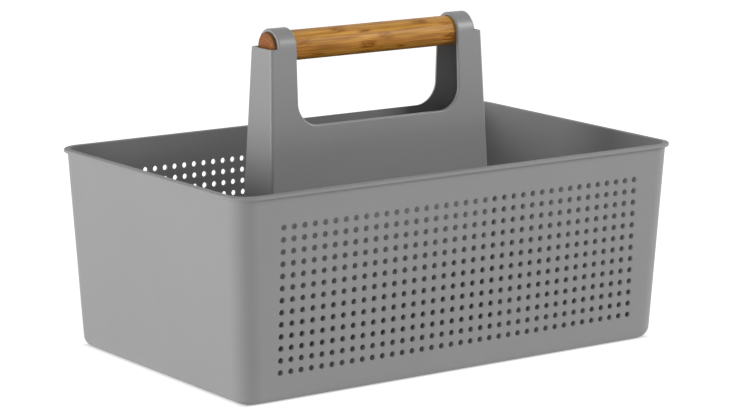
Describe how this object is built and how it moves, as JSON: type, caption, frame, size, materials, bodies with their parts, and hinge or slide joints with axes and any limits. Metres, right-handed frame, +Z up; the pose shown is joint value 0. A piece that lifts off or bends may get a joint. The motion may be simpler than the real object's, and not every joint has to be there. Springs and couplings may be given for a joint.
{
  "type": "shower caddy",
  "caption": "Open carrying tub with perforated long walls, a hollow handle frame standing in its middle and a round wooden grip bar held in two loops.",
  "frame": {"origin": "centre of the footprint, on the surface that the caddy stands on", "axes": "+X along the tub and the grip bar, +Y across it, +Z up"},
  "size_m": [0.3504, 0.2256, 0.2184],
  "materials": {
    "tub_plastic": "fine matte moulding grain",
    "frame_plastic": "fine matte moulding grain",
    "bamboo": "sanded, thin clear oil",
    "screw_steel": "plain"
  },
  "bodies": {
    "caddy": {"tub": "tub_plastic", "handle_frame": "frame_plastic", "frame_screws": "screw_steel"},
    "grip": {"grip_bar": "bamboo"}
  },
  "joints": [
    {"name": "grip_turn", "type": "hinge", "parent": "caddy", "child": "grip", "pos_m": [0, 0, 0.2062], "axis": [1, 0, 0], "continuous": true}
  ]
}
